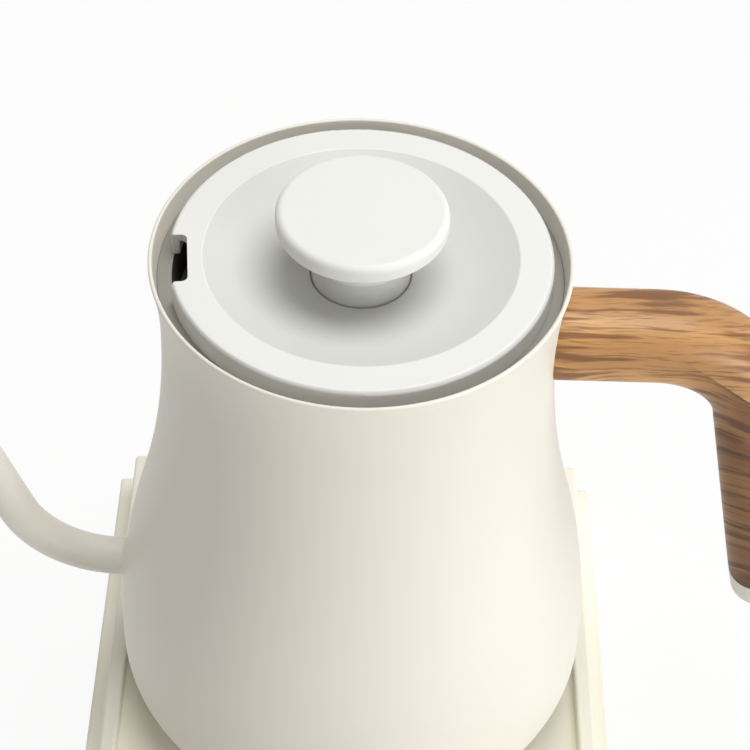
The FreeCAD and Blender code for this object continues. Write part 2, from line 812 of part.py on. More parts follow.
lid_cover = turned("lid_cover", [
    ("knob_screw_radius + fit_gap", stem_foot),
    ("knob_screw_radius + fit_gap", dish_under),
    (stem_hole, dish_under),
    (stem_hole, bowl(dish_under, under_curve, stem_hole)),
    (plug_inside, bowl(dish_under, under_curve, plug_inside), under_curve, "left"),
    (plug_inside, dish_under),
    (plug_radius, dish_under),
    (plug_radius, f"{lid_top} - lid_wall"),
    (f"{lid_radius} - lid_wall", f"{lid_top} - lid_wall"),
    (f"{lid_radius} - lid_wall", seat_top),
    (lid_radius, seat_top),
    (lid_radius, f"{lid_top} - lid_edge"),
    (f"{lid_radius} - lid_edge", lid_top, "lid_edge", "left"),
    (dish_radius, lid_top),
    (stem_hole, stem_edge, dish_curve, "right"),
    (stem_hole, stem_foot),
])
notch_half = "(notch_width / 2)"
notch_end = f"(notch_depth - {lid_radius})"
mouth_half = f"({notch_half} + notch_mouth)"
mouth_place = f"(-sqrt({lid_radius}^2 - {mouth_half}^2))"
hollow(lid_cover, [
    (f"-{lid_radius}", f"-{mouth_half}"),
    (mouth_place, f"-{mouth_half}"),
    (f"{mouth_place} + notch_mouth", f"-{notch_half}", "notch_mouth", "right"),
    (f"{notch_end} - notch_corner", f"-{notch_half}"),
    (notch_end, f"-{notch_half} + notch_corner", "notch_corner", "left"),
    (notch_end, f"{notch_half} - notch_corner"),
    (f"{notch_end} - notch_corner", notch_half, "notch_corner", "left"),
    (f"{mouth_place} + notch_mouth", notch_half),
    (mouth_place, mouth_half, "notch_mouth", "right"),
    (f"-{lid_radius}", mouth_half),
], seat_top, lid_top)
lid_cover.Placement.Rotation = lid_rotation

knob_top = f"({lid_top} + knob_rise)"
knob_under = f"({knob_top} - knob_thickness)"
turned("lid_knob", [
    ("0", knob_top),
    ("0", f"{stem_foot} + knob_screw_bite"),
    ("knob_screw_radius + fit_gap", f"{stem_foot} + knob_screw_bite"),
    ("knob_screw_radius + fit_gap", stem_foot),
    ("stem_radius", stem_foot),
    ("stem_radius", knob_under),
    ("knob_radius - knob_under_edge", knob_under),
    ("knob_radius", f"{knob_under} + knob_under_edge", "knob_under_edge", "left"),
    ("knob_radius", f"{knob_top} - knob_top_edge"),
    ("knob_radius - knob_top_edge", knob_top, "knob_top_edge", "left"),
])

turned("lid_inner_plate", [
    ("knob_screw_radius + fit_gap", dish_under),
    ("knob_screw_radius + fit_gap", plug_top),
    (f"{plug_radius} - plug_wall", plug_top),
    (f"{plug_radius} - plug_wall", f"{dish_under} - plug_depth"),
    (plug_radius, f"{dish_under} - plug_depth"),
    (plug_radius, dish_under),
])

ring_low = f"({dish_under} - plug_depth + ring_lift)"
lid_friction_ring = turned("lid_friction_ring", [
    (f"{plug_radius} + fit_gap", ring_low),
    (f"{seat_radius} - lift_gap", f"{ring_low} + ring_height / 2"),
    (f"{plug_radius} + fit_gap", f"{ring_low} + ring_height"),
])
hollow(lid_friction_ring, square(f"-{seat_radius}", f"-{plug_radius} / 2", f"-{notch_half}", notch_half),
       ring_low, f"{ring_low} + ring_height")
lid_friction_ring.Placement.Rotation = lid_rotation

knob_washer = turned("knob_washer", [
    ("knob_screw_radius + fit_gap", plug_top),
    ("knob_screw_radius + fit_gap", f"{plug_top} - washer_thickness"),
    ("washer_radius", f"{plug_top} - washer_thickness"),
    ("washer_radius", plug_top),
])
screws("knob_screw", centre, "knob_screw_radius", "knob_screw_head_radius",
       f"{plug_top} - washer_thickness - knob_screw_head_height", f"{plug_top} - washer_thickness",
       f"{stem_foot} + knob_screw_bite - fit_gap")

# Base housing

tray_low = "foot_height"
tray_floor_top = "(foot_height + tray_floor)"
tier_half_width = "(base_half_width - tier_inset)"
tier_back = "(base_back - tier_inset_back)"
tier_front = "(base_front - tier_inset)"
recess_half_width = f"({tier_half_width} - recess_border)"
recess_back = f"({tier_back} - recess_border)"
boss_places = [
    ("boss_across", "boss_back"), ("-boss_across", "boss_back"),
    ("boss_across", "-boss_front"), ("-boss_across", "-boss_front"),
]
screw_seat = f"({tray_low} + base_screw_head_height)"
boss_foot = f"({tray_floor_top} + seat_boss_height)"
power_board_back = "(base_back - power_board_gap)"
power_board_front = f"({power_board_back} - power_board_depth)"
power_post_places = [
    (f"{side}(power_board_half_width - post_inset)", edge)
    for side in ("", "-")
    for edge in (f"{power_board_front} + post_inset", f"{power_board_back} - post_inset")
]


def base_outline(half_width, back, front, inset, corner):
    """Outline of the base or one of its tiers, drawn in by an inset."""
    return rounded(f"-{half_width} + {inset}", f"{half_width} - {inset}",
                   f"-{front} + {inset}", f"{back} - {inset}", corner)


base_tray = new_part("base_tray")
block(base_tray, base_outline("base_half_width", "base_back", "base_front", "0", "base_corner"),
      tray_low, "ledge_height")
soften(base_tray, "base_edge", flat_at("ledge_height"))
hollow(base_tray, base_outline("base_half_width", "base_back", "base_front", "tray_wall", "base_corner"),
       tray_floor_top, "ledge_height - ledge_thickness")
hollow(base_tray, base_outline(tier_half_width, tier_back, tier_front, "tier_wall", "base_corner"),
       "ledge_height - ledge_thickness", "ledge_height")
discs(base_tray, boss_places, "seat_boss_radius", tray_floor_top, boss_foot)
drill(base_tray, boss_places, "base_screw_head_radius + fit_gap", tray_low, screw_seat)
drill(base_tray, boss_places, "base_screw_radius + fit_gap", screw_seat, boss_foot)
discs(base_tray, power_post_places, "post_radius", tray_floor_top, f"{tray_floor_top} + post_height")
drill(base_tray, power_post_places, "board_screw_radius + fit_gap",
      f"{tray_floor_top} + post_height - board_screw_bite", f"{tray_floor_top} + post_height")

foot_strip = new_part("foot_strip")
block(foot_strip, base_outline("base_half_width", "base_back", "base_front", "foot_inset", "base_corner"),
      "0", "foot_height")
hollow(foot_strip,
       base_outline("base_half_width", "base_back", "base_front", "(foot_inset + foot_width)", "base_corner"),
       "0", "foot_height")

screws("base_screws", boss_places, "base_screw_radius", "base_screw_head_radius",
       tray_low, screw_seat, f"{boss_foot} + base_screw_bite - fit_gap")

# Control deck positions

deck_under = "(tier_top - deck_thickness)"
deck_back = "(recess_front + recess_border)"
deck_middle = f"(-({deck_back} + {tier_front}) / 2)"
control_half_width = f"({tier_half_width} - tier_wall - control_board_side_gap)"
control_depth = f"({tier_front} - {deck_back} - 2 * control_board_edge_gap)"
panel_board_top = f"({deck_under} - panel_post_length)"
panel_board_low = f"({panel_board_top} - board_thickness)"
panel_board_front = f"{deck_middle} - {control_depth} / 2"
panel_board_back = f"{deck_middle} + {control_depth} / 2"
panel_post_places = [
    (f"{side}({control_half_width} - post_inset)", edge)
    for side in ("", "-")
    for edge in (f"{panel_board_front} + post_inset", f"{panel_board_back} - post_inset")
]
plus_place = f"({tier_half_width} - plus_button_inset)"
minus_place = f"({plus_place} - button_pitch)"
buttons = {
    "power_button": f"(power_button_inset - {tier_half_width})",
    "minus_button": minus_place,
    "plus_button": plus_place,
}
button_places = [(place, deck_middle) for place in buttons.values()]
connector_screw_places = [
    ("connector_screw_circle", "0"),
    ("-connector_screw_circle * cos(60)", "connector_screw_circle * sin(60)"),
    ("-connector_screw_circle * cos(60)", "-connector_screw_circle * sin(60)"),
]


window_half = f"({minus_place} - button_radius - window_margin)"


def window_outline(inset):
    return rounded(f"-{window_half} + {inset}", f"{window_half} - {inset}",
                   f"{deck_middle} - window_depth / 2 + {inset}",
                   f"{deck_middle} + window_depth / 2 - {inset}", "window_corner")


base_top_cover = new_part("base_top_cover")
block(base_top_cover, base_outline(tier_half_width, tier_back, tier_front, "0", "base_corner"),
      "ledge_height", "tier_top")
hollow(base_top_cover, rounded(f"-{recess_half_width}", recess_half_width, "-recess_front", recess_back,
                               "recess_corner"),
       recess_floor, "tier_top")
soften(base_top_cover, "base_edge", flat_at("tier_top"))
hollow(base_top_cover, base_outline(tier_half_width, tier_back, tier_front, "tier_wall", "base_corner"),
       "ledge_height", plate_base)
hollow(base_top_cover, square(f"-{tier_half_width} + tier_wall + base_corner",
                              f"{tier_half_width} - tier_wall - base_corner",
                              f"-{tier_front} + tier_wall", f"-{deck_back}"),
       plate_base, deck_under)
discs(base_top_cover, boss_places, "boss_radius", boss_foot, plate_base)
drill(base_top_cover, boss_places, "base_screw_radius + fit_gap", boss_foot, f"{boss_foot} + base_screw_bite")
discs(base_top_cover, panel_post_places, "post_radius", panel_board_top, deck_under)
drill(base_top_cover, panel_post_places, "board_screw_radius + fit_gap",
      panel_board_top, f"{panel_board_top} + board_screw_bite")
drill(base_top_cover, centre, "pedestal_radius + fit_gap", plate_base, recess_floor)
drill(base_top_cover, connector_screw_places, "connector_screw_radius + fit_gap",
      plate_base, f"{plate_base} + connector_screw_bite")
drill(base_top_cover, button_places, "button_radius + button_gap", deck_under, "tier_top")
hollow(base_top_cover, window_outline("0"), "tier_top - window_thickness", "tier_top")
hollow(base_top_cover, window_outline("window_lip"), deck_under, "tier_top - window_thickness")
gland_height = f"((ledge_height + {plate_base}) / 2)"
gland_bore = f"(({plate_base} - ledge_height) / 2 - gland_wall - gland_edge)"
gland_hole = new_sketch(base_top_cover, "XZ_Plane", f"-{tier_back} + tier_wall")
draw_circles(gland_hole, [("0", gland_height)], f"{gland_bore} + gland_wall + fit_gap")
cut(base_top_cover, gland_hole, "tier_wall")

# Base's half of the connector

pedestal_top = f"({recess_floor} + pedestal_rise)"
groove_floor = f"({pedestal_top} - ring_sink)"


def groove(radius):
    """Corners of a groove's walls and floor, from the middle outwards."""
    near, far = f"{radius} - ring_width / 2 - fit_gap", f"{radius} + ring_width / 2 + fit_gap"
    return [(near, pedestal_top), (near, groove_floor), (far, groove_floor), (far, pedestal_top)]


base_connector = turned("base_connector", [
    ("0", f"{plate_base} - pedestal_flange_height"),
    ("pedestal_flange", f"{plate_base} - pedestal_flange_height"),
    ("pedestal_flange", plate_base),
    ("pedestal_radius", plate_base),
    ("pedestal_radius", pedestal_top),
    *reversed(groove("ring_two_radius")),
    *reversed(groove("ring_one_radius")),
    ("blade_radius + fit_gap", pedestal_top),
    ("blade_radius + fit_gap", groove_floor),
    ("0", groove_floor),
])
drill(base_connector, connector_screw_places, "connector_screw_radius + fit_gap",
      f"{plate_base} - pedestal_flange_height", plate_base)

contact_rings = new_part("contact_rings")
ring_sketch = new_sketch(contact_rings, "XY_Plane", groove_floor)
draw_circles(ring_sketch, centre, "blade_radius")
for ring in ("ring_one_radius", "ring_two_radius"):
    draw_circles(ring_sketch, centre, f"{ring} - ring_width / 2")
    draw_circles(ring_sketch, centre, f"{ring} + ring_width / 2")
extrude(contact_rings, ring_sketch, "ring_sink + ring_proud")

screws("connector_screws", connector_screw_places, "connector_screw_radius", "connector_screw_head_radius",
       f"{plate_base} - pedestal_flange_height - connector_screw_head_height",
       f"{plate_base} - pedestal_flange_height", f"{plate_base} + connector_screw_bite - fit_gap")

# Power board and what is soldered to it

power_board_low = f"({tray_floor_top} + post_height)"
power_board_top = f"({power_board_low} + board_thickness)"
power_board_middle = f"(({power_board_front} + {power_board_back}) / 2)"
terminal_back = f"({power_board_back} - terminal_setback)"

power_board = new_part("power_board")
block(power_board, square("-power_board_half_width", "power_board_half_width",
                          power_board_front, power_board_back), power_board_low, power_board_top)
drill(power_board, power_post_places, "board_screw_radius + fit_gap", power_board_low, power_board_top)
simple_box("relay", "relay_place - relay_length / 2", "relay_place + relay_length / 2",
           f"{power_board_middle} - relay_width / 2", f"{power_board_middle} + relay_width / 2",
           power_board_top, f"{plate_base} - relay_clear")
simple_box("terminal_block", "0", "terminal_length", f"{terminal_back} - terminal_width", terminal_back,
           power_board_top, f"{plate_base} - terminal_clear")

board_screws = new_part("board_screws")
discs(board_screws, power_post_places, "board_screw_radius",
      f"{power_board_low} - board_screw_bite + fit_gap", power_board_top)
discs(board_screws, power_post_places, "board_screw_head_radius",
      power_board_top, f"{power_board_top} + board_screw_head_height")

# Control board, display and buttons

control_board = new_part("control_board")
block(control_board, square(f"-{control_half_width}", control_half_width,
                            panel_board_front, panel_board_back), panel_board_low, panel_board_top)
drill(control_board, panel_post_places, "board_screw_radius + fit_gap", panel_board_low, panel_board_top)
screws("panel_screws", panel_post_places, "board_screw_radius", "board_screw_head_radius",
       f"{panel_board_low} - board_screw_head_height", panel_board_low,
       f"{panel_board_top} + board_screw_bite - fit_gap")

simple_box("display_module", f"-{window_half} + window_lip", f"{window_half} - window_lip",
           f"{deck_middle} - window_depth / 2 + window_lip", f"{deck_middle} + window_depth / 2 - window_lip",
           panel_board_top, f"{deck_under} - module_gap")

display_window = new_part("display_window")
block(display_window, window_outline("fit_gap"), "tier_top - window_thickness", "tier_top")

switch_top = f"({panel_board_top} + switch_height)"
tact_switches = new_part("tact_switches")
for place in buttons.values():
    block(tact_switches, square(f"{place} - switch_size / 2", f"{place} + switch_size / 2",
                                f"{deck_middle} - switch_size / 2", f"{deck_middle} + switch_size / 2"),
          panel_board_top, switch_top)

flange_top = f"({deck_under} - button_gap)"
flange_foot = f"({flange_top} - button_flange_height)"
for label, place in buttons.items():
    button = new_part(label)
    spot = [(place, deck_middle)]
    discs(button, spot, "button_stem_radius", f"{switch_top} + button_travel + switch_slack", flange_foot)
    discs(button, spot, "button_radius + button_flange", flange_foot, flange_top)
    discs(button, spot, "button_radius", flange_top, "tier_top + button_proud")
    soften(button, "button_edge", flat_at("tier_top + button_proud"))

# Bush that the mains lead comes through, turned upright and then laid along +Y

gland_reach = "(tier_wall + gland_outside)"
gland_flange_radius = f"{gland_bore} + gland_wall + gland_flange"
cord_gland = turned("cord_gland", [
    (gland_bore, "-gland_inside"),
    (gland_flange_radius, "-gland_inside"),
    (gland_flange_radius, "0"),
    (f"{gland_bore} + gland_wall", "0"),
    (f"{gland_bore} + gland_wall", "tier_wall"),
    (gland_flange_radius, "tier_wall"),
    (gland_flange_radius, gland_reach),
    (gland_bore, gland_reach),
])
cord_gland.Placement.Rotation = FreeCAD.Rotation(FreeCAD.Vector(1, 0, 0), -90)
cord_gland.setExpression("Placement.Base.y", bound(f"{tier_back} - tier_wall"))
cord_gland.setExpression("Placement.Base.z", bound(gland_height))

# Check every object, then write one file for each part

doc.recompute()
for item in doc.Objects:
    if "Invalid" in item.State or "Error" in item.State:
        raise RuntimeError(f"{item.Name} failed: {item.State}")
for part in parts:
    if part.Shape.isNull() or not part.Shape.isValid():
        raise RuntimeError(f"{part.Label} has no valid shape")
os.makedirs("parts", exist_ok=True)
for part in parts:
    part.Shape.exportStep(os.path.join("parts", part.Label + ".step"))
    print(f"{part.Label}: {len(part.Shape.Solids)} solids, {part.Shape.Volume:.1f} mm3")
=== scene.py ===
import bpy
import json
import math
from mathutils import Matrix, Vector
from mathutils.bvhtree import BVHTree


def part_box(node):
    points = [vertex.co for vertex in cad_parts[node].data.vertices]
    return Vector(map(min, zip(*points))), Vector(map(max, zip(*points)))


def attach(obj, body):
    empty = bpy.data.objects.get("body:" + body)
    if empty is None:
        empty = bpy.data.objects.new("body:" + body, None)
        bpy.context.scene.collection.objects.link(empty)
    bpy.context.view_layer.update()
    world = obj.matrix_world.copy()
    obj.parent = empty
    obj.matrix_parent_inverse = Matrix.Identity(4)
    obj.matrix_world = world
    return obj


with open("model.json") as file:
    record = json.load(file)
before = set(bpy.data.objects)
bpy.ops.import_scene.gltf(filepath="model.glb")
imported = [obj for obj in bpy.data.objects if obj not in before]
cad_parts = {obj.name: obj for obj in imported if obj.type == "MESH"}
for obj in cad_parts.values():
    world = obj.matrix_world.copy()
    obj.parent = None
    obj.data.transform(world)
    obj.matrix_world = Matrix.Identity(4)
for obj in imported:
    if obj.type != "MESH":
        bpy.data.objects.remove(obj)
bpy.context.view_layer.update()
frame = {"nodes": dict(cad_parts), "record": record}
nodes = frame["nodes"]
millimetre = 0.001


class Wire:
    # one output socket; sums and products of wires add Math nodes
    def __init__(self, maker, socket):
        self.maker = maker
        self.socket = socket

    def math(self, operation, other=0.5):
        return self.maker.add("ShaderNodeMath", {"operation": operation}, {0: self, 1: other})

    def __add__(self, other):
        return self.math("ADD", other)

    def __sub__(self, other):
        return self.math("SUBTRACT", other)

    def __rsub__(self, other):
        return (self * -1.0).math("ADD", other)

    def __mul__(self, other):
        return self.math("MULTIPLY", other)

    __radd__ = __add__

    def size(self):
        return self.math("ABSOLUTE")

    def below(self, limit):
        return self.math("LESS_THAN", limit)

    def above(self, limit):
        return self.math("GREATER_THAN", limit)

    def fade(self, low, high):
        # 0 at low, 1 at high, smooth between
        settings = {"interpolation_type": "SMOOTHSTEP"}
        return self.maker.add("ShaderNodeMapRange", settings, {0: self, 1: low, 2: high, 3: 0.0, 4: 1.0})


class NodeMaker:
    # a node tree whose nodes all come from add
    def __init__(self, tree):
        self.tree = tree

    def fill(self, socket, value):
        if isinstance(value, Wire):
            self.tree.links.new(value.socket, socket)
        elif socket.type == "RGBA":
            socket.default_value = (*value, 1.0)
        else:
            socket.default_value = value

    def add(self, kind, settings, sockets, output=0):
        node = self.tree.nodes.new(kind)
        for name, value in settings.items():
            setattr(node, name, value)
        for name, value in sockets.items():
            self.fill(node.inputs[name], value)
        return Wire(self, node.outputs[output])

    def looking(self):
        # 1 for rays that only look: from the camera, off a mirror or through glass
        rays = ("Is Camera Ray", "Is Glossy Ray", "Is Transmission Ray")
        straight, mirrored, bent = (self.add("ShaderNodeLightPath", {}, {}, ray) for ray in rays)
        return straight.math("MAXIMUM", mirrored.math("MAXIMUM", bent))

    def place(self):
        return self.add("ShaderNodeTexCoord", {}, {}, "Object")

    def noise(self, place, scale, detail=2.0, roughness=0.5):
        sockets = {"Vector": place, "Scale": scale, "Detail": detail, "Roughness": roughness}
        return self.add("ShaderNodeTexNoise", {}, sockets)

    def mix(self, share, first, second, blend="MIX"):
        settings = {"data_type": "RGBA", "blend_type": blend}
        return self.add("ShaderNodeMix", settings, {0: share, 6: first, 7: second}, 2)

    def bump(self, height, depth):
        # depth in millimetres
        return self.add("ShaderNodeBump", {}, {"Height": height, "Distance": depth * millimetre})


class Finish(NodeMaker):
    # a material with one surface shader
    def __init__(self, name):
        self.material = bpy.data.materials.new(name)
        self.material.use_nodes = True
        super().__init__(self.material.node_tree)
        self.shader = self.tree.nodes["Principled BSDF"]

    def surface(self, values):
        for name, value in values.items():
            self.fill(self.shader.inputs[name], value)
        return self.material


def seen(red, green, blue):
    # a colour as a screen shows it, 11 to 255, as the light that it stands for
    return tuple(((channel / 255 + 0.055) / 1.055) ** 2.4 for channel in (red, green, blue))


def shade(colour, share):
    return tuple(channel * share for channel in colour)


# Finishes

def specks(finish, place, values):
    # a few tiny dark marks: one in some of the cells of a coarse pattern
    sockets = {"Vector": place, "Scale": values["speckCell"]}
    near = finish.add("ShaderNodeTexVoronoi", {}, sockets, "Distance")
    pick = finish.add("ShaderNodeTexVoronoi", {}, sockets, "Color")
    chance = finish.add("ShaderNodeSeparateColor", {}, {0: pick})
    return near.below(values["speckSize"]) * chance.above(values["speckFree"]) * values["speckDepth"]


paint = {
    "colour": seen(240, 236, 225), "clouded": 0.965, "cloud": 18.0,
    "grain": 2600.0, "grainDepth": 0.012, "rough": 0.40, "roughGrain": 0.14,
    "speckCell": 42.0, "speckSize": 0.009, "speckFree": 0.94, "speckDepth": 0.45, "speck": seen(110, 105, 95),
}


def whitePaint():
    # sprayed paint
    finish = Finish("whitePaint")
    place = finish.place()
    cloud = finish.noise(place, paint["cloud"], 3.0)
    grain = finish.noise(place, paint["grain"])
    colour = finish.mix(cloud, shade(paint["colour"], paint["clouded"]), paint["colour"])
    return finish.surface({
        "Base Color": finish.mix(specks(finish, place, paint), colour, paint["speck"]),
        "Roughness": paint["rough"] + grain * paint["roughGrain"],
        "Normal": finish.bump(grain, paint["grainDepth"]),
    })


plastic = {
    "clouded": 0.975, "cloud": 25.0, "grain": 3200.0, "grainDepth": 0.010, "rough": 0.52, "roughGrain": 0.12,
    "speckCell": 55.0, "speckSize": 0.010, "speckFree": 0.95, "speckDepth": 0.5, "speckTone": 0.3,
}
# the inner pieces are coarser and have no specks
innerPlastic = {**plastic, "grain": 2400.0, "grainDepth": 0.02, "rough": 0.5, "speckFree": 1.1}
# painted shade: the lid's dish is painted greyer than its ring, for the knob's shade on it, between these heights
# in millimetres
dish = {"low": 166.0, "high": 174.7, "tone": 0.82}


def mattePlastic(name, colour, values=plastic, paintedShade=None):
    # moulded plastic with a fine spark texture
    finish = Finish(name)
    place = finish.place()
    cloud = finish.noise(place, values["cloud"], 3.0)
    grain = finish.noise(place, values["grain"], 1.0)
    tone = finish.mix(cloud, shade(colour, values["clouded"]), colour)
    if paintedShade:
        # painted shade: between the two heights the colour is darkened by the tone share
        height = finish.add("ShaderNodeSeparateXYZ", {}, {0: place}, "Z")
        shadedDish = height.above(paintedShade["low"] * millimetre) * height.below(paintedShade["high"] * millimetre)
        tone = finish.mix(shadedDish, tone, shade(colour, paintedShade["tone"]))
    return finish.surface({
        "Base Color": finish.mix(specks(finish, place, values), tone, shade(colour, values["speckTone"])),
        "Roughness": values["rough"] + grain * values["roughGrain"],
        "Normal": finish.bump(grain, values["grainDepth"]),
    })


# points and lengths on the handle are in millimetres, as x and z
wood = {
    "pale": seen(218, 170, 110), "warm": seen(186, 136, 82), "dark": seen(108, 66, 32), "deep": seen(70, 42, 22),
    "along": 36.0, "across": 430.0, "wave": 26.0, "waveSize": 2.4,
    "ringFrom": 0.48, "ringTo": 0.62, "ringDepth": 0.8,
    "fine": 3.0, "fineFrom": 0.50, "fineTo": 0.70, "fineDepth": 0.55,
    "broad": 0.22, "broadFrom": 0.38, "broadTo": 0.62,
    "seamPoint": (85.3, 144.8), "seamSlope": 38.0, "seamFrom": 72.0, "seamTo": 92.0,
    "seamWidth": 0.25, "seamDepth": 0.75,
    "dropPivot": (76.0, 146.0), "dropTurn": 24.0, "dropDarkWoodAndShade": (0.37, 0.27, 0.17),
    "fanFrom": 46.0, "fanTo": 64.0, "fanLow": 142.0, "fanHigh": 153.0, "fanDrop": 2.5,
    "rough": 0.40, "roughRing": 0.12, "roughFine": 0.1, "bumpFine": 0.4, "bumpDepth": 0.04,
    "coat": 0.08, "coatRough": 0.3,
}


def woodSpan(wire, low, high):
    # how far a length lies between two of the wood's lengths
    return wire.fade(wood[low] * millimetre, wood[high] * millimetre)


def handleWood():
    finish = Finish("handleWood")
    place = finish.place()
    along, depth, height = (finish.add("ShaderNodeSeparateXYZ", {}, {0: place}, axis) for axis in "XYZ")
    # the wood skin is joined along a slanting line in the bend; below it the grain leans down
    slope = math.radians(wood["seamSlope"])
    normal = (math.sin(slope), math.cos(slope))
    level = sum(a * b for a, b in zip(normal, wood["seamPoint"])) * millimetre
    over = along * normal[0] + height * normal[1] - level
    reach = woodSpan(along, "seamFrom", "seamTo")
    drop = over.below(0.0) * reach
    turn = math.radians(wood["dropTurn"])
    pivotX, pivotZ = (value * millimetre for value in wood["dropPivot"])
    leanX = (along - pivotX) * math.cos(turn) - (height - pivotZ) * math.sin(turn) + pivotX
    leanZ = (along - pivotX) * math.sin(turn) + (height - pivotZ) * math.cos(turn) + pivotZ
    # near the root the lower streaks fan down
    fan = (1.0 - woodSpan(along, "fanFrom", "fanTo")) * (1.0 - woodSpan(height, "fanLow", "fanHigh"))
    grainX = along + drop * (leanX - along)
    grainZ = height + drop * (leanZ - height) + fan * wood["fanDrop"] * millimetre
    wave = finish.noise(place, wood["wave"], 1.0)
    streaks = (grainZ + depth) * wood["across"] + wave * wood["waveSize"]
    stretched = finish.add("ShaderNodeCombineXYZ", {}, {0: grainX * wood["along"], 1: streaks, 2: 0.0})
    rings = finish.noise(stretched, 1.0, 3.0, 0.55).fade(wood["ringFrom"], wood["ringTo"])
    fine = finish.noise(stretched, wood["fine"], 2.0, 0.6)
    broad = finish.noise(stretched, wood["broad"], 1.0).fade(wood["broadFrom"], wood["broadTo"])
    fineLines = fine.fade(wood["fineFrom"], wood["fineTo"])
    colour = finish.mix(broad, wood["pale"], wood["warm"])
    colour = finish.mix(rings * wood["ringDepth"], colour, wood["dark"])
    colour = finish.mix(fineLines * wood["fineDepth"], colour, wood["dark"])
    # below the seam the wood is multiplied darker: partly darker wood, partly painted shade where the drop lies
    # in shadow
    colour = finish.mix(drop, colour, wood["dropDarkWoodAndShade"], "MULTIPLY")
    seam = (1.0 - over.size().fade(0.0, wood["seamWidth"] * millimetre)) * reach
    return finish.surface({
        "Base Color": finish.mix(seam * wood["seamDepth"], colour, wood["deep"]),
        "Roughness": wood["rough"] + rings * wood["roughRing"] + fine * wood["roughFine"],
        "Normal": finish.bump(fine * wood["bumpFine"] - rings - seam, wood["bumpDepth"]),
        "Coat Weight": wood["coat"],
        "Coat Roughness": wood["coatRough"],
    })


metal = {"long": 40.0, "short": 1600.0, "dim": 0.8, "roughScratch": 0.16, "depth": 0.004}


def brushedMetal(name, colour, rough=0.32, brushed="Z"):
    # metal with fine scratches along one axis
    finish = Finish(name)
    stretch = tuple(metal["long"] if axis == brushed else metal["short"] for axis in "XYZ")
    drawn = finish.add("ShaderNodeVectorMath", {"operation": "MULTIPLY"}, {0: finish.place(), 1: stretch})
    scratch = finish.noise(drawn, 1.0, 3.0)
    return finish.surface({
        "Base Color": finish.mix(scratch, shade(colour, metal["dim"]), colour),
        "Metallic": 1.0,
        "Roughness": rough + scratch * metal["roughScratch"],
        "Normal": finish.bump(scratch, metal["depth"]),
    })


rubber = {
    "dust": 160.0, "dustFrom": 0.4, "dustTo": 0.75, "dustDepth": 0.35, "dustTone": 1.7,
    "grain": 1800.0, "grainDepth": 0.02, "rough": 0.72, "roughGrain": 0.2,
}


def softRubber(name, colour):
    # rubber with a little pale dust
    finish = Finish(name)
    place = finish.place()
    dust = finish.noise(place, rubber["dust"], 4.0).fade(rubber["dustFrom"], rubber["dustTo"])
    grain = finish.noise(place, rubber["grain"])
    return finish.surface({
        "Base Color": finish.mix(dust * rubber["dustDepth"], colour, shade(colour, rubber["dustTone"])),
        "Roughness": rubber["rough"] + grain * rubber["roughGrain"],
        "Normal": finish.bump(grain, rubber["grainDepth"]),
    })


board = {
    "lacquer": seen(14, 74, 44), "track": seen(32, 108, 66), "cell": 260.0, "from": 0.28, "to": 0.34,
    "rough": 0.30, "roughTrack": 0.15, "depth": 0.03,
}


def circuitBoard():
    # green lacquer, paler over the copper tracks
    finish = Finish("circuitBoard")
    sockets = {"Vector": finish.place(), "Scale": board["cell"]}
    maze = finish.add("ShaderNodeTexVoronoi", {"distance": "MANHATTAN"}, sockets, "Distance")
    tracks = maze.fade(board["from"], board["to"])
    return finish.surface({
        "Base Color": finish.mix(tracks, board["lacquer"], board["track"]),
        "Roughness": board["rough"] + tracks * board["roughTrack"],
        "Normal": finish.bump(tracks, board["depth"]),
    })


glass = {
    "clean": seen(12, 13, 15), "dusty": seen(20, 21, 24), "dust": 420.0,
    "rough": 0.08, "roughDust": 0.08, "coat": 0.3, "coatRough": 0.04,
}


def displayGlass():
    # dark window with a little dust
    finish = Finish("displayGlass")
    dust = finish.noise(finish.place(), glass["dust"], 5.0)
    return finish.surface({
        "Base Color": finish.mix(dust, glass["clean"], glass["dusty"]),
        "Roughness": glass["rough"] + dust * glass["roughDust"],
        "Coat Weight": glass["coat"],
        "Coat Roughness": glass["coatRough"],
    })


finishes = {
    "white_paint": whitePaint(),
    "lid_plastic": mattePlastic("lidPlastic", seen(237, 237, 233), paintedShade=dish),
    "base_plastic": mattePlastic("basePlastic", seen(249, 246, 231)),
    "cap_plastic": mattePlastic("capPlastic", seen(222, 222, 222)),
    "handle_wood": handleWood(),
    "steel": brushedMetal("brushedSteel", seen(205, 203, 198)),
    "zinc_screw": brushedMetal("zincScrew", seen(188, 190, 194), 0.28, "X"),
    "spreader_metal": brushedMetal("castSpreader", seen(200, 200, 202), 0.48),
    "contact_metal": brushedMetal("platedContact", seen(214, 178, 110), 0.22, "Y"),
    "black_plastic": mattePlastic("blackPlastic", seen(38, 38, 40), innerPlastic),
    "terminal_plastic": mattePlastic("terminalPlastic", seen(58, 110, 76), innerPlastic),
    "board_laminate": circuitBoard(),
    "display_plastic": displayGlass(),
    "soft_rubber": softRubber("sealRubber", seen(190, 190, 188)),
    "foot_rubber": softRubber("footRubber", seen(84, 84, 86)),
}
for entry in frame["record"]["subparts"]:
    for holder in nodes[entry["node"]].material_slots:
        holder.material = finishes[entry["material_slot"]]
# the lid's seat is bare steel, rougher than the other steel; its darker colour is painted shade for the gap
# beside the lid
for holder in nodes["lid_seat_ring"].material_slots:
    holder.material = brushedMetal("seatSteelAndShade", seen(150, 148, 140), 0.55)
print("finishes:", len(finishes))


# Pieces

def piece(name, points, faces, body, slotName, smooth=True):
    mesh = bpy.data.meshes.new(name)
    mesh.from_pydata([tuple(point) for point in points], [], faces)
    mesh.update()
    for face in mesh.polygons:
        face.use_smooth = smooth
    thing = bpy.data.objects.new(name, mesh)
    bpy.context.scene.collection.objects.link(thing)
    mesh.materials.append(finishes[slotName])
    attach(thing, body)


def skins(*names):
    graph = bpy.context.evaluated_depsgraph_get()
    return [BVHTree.FromObject(nodes[name], graph) for name in names]


